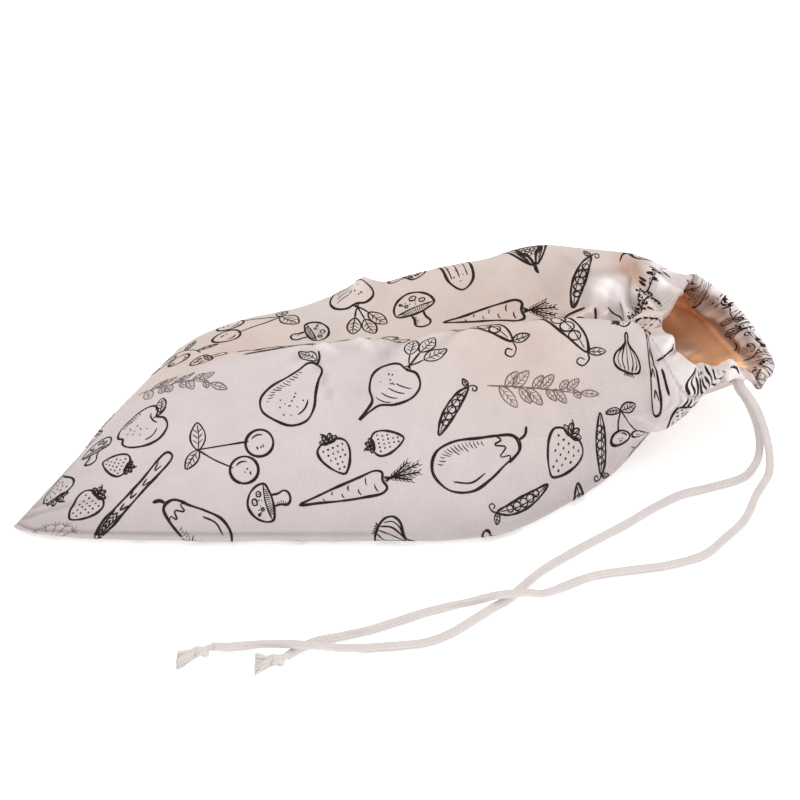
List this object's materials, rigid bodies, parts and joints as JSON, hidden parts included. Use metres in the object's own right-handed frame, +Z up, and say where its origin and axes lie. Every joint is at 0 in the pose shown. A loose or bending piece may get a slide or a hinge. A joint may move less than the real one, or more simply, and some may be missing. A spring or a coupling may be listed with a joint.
{
  "type": "cotton bread bag",
  "caption": "Cotton drawstring bread bag lying on its side, puffed, with a gathered open mouth and free cord ends that finish in knots and frayed tips.",
  "frame": {"origin": "on the table surface under the middle of the bag's box, without the cord's free ends", "axes": "+X along the bag from its closed end to its drawn mouth, +Z up, and the cord's free ends lie on the -Y side"},
  "size_m": [0.4044, 0.3497, 0.0763],
  "materials": {
    "printed_cotton": "plain weave cotton, off-white with dark brown line print outside and bare tan inside",
    "cotton_cord": "soft natural cotton cord"
  },
  "bodies": {
    "root": {"bag_cloth": "printed_cotton", "cord_a": "cotton_cord", "cord_b": "cotton_cord", "tassel_a": "cotton_cord", "tassel_b": "cotton_cord"}
  },
  "joints": []
}
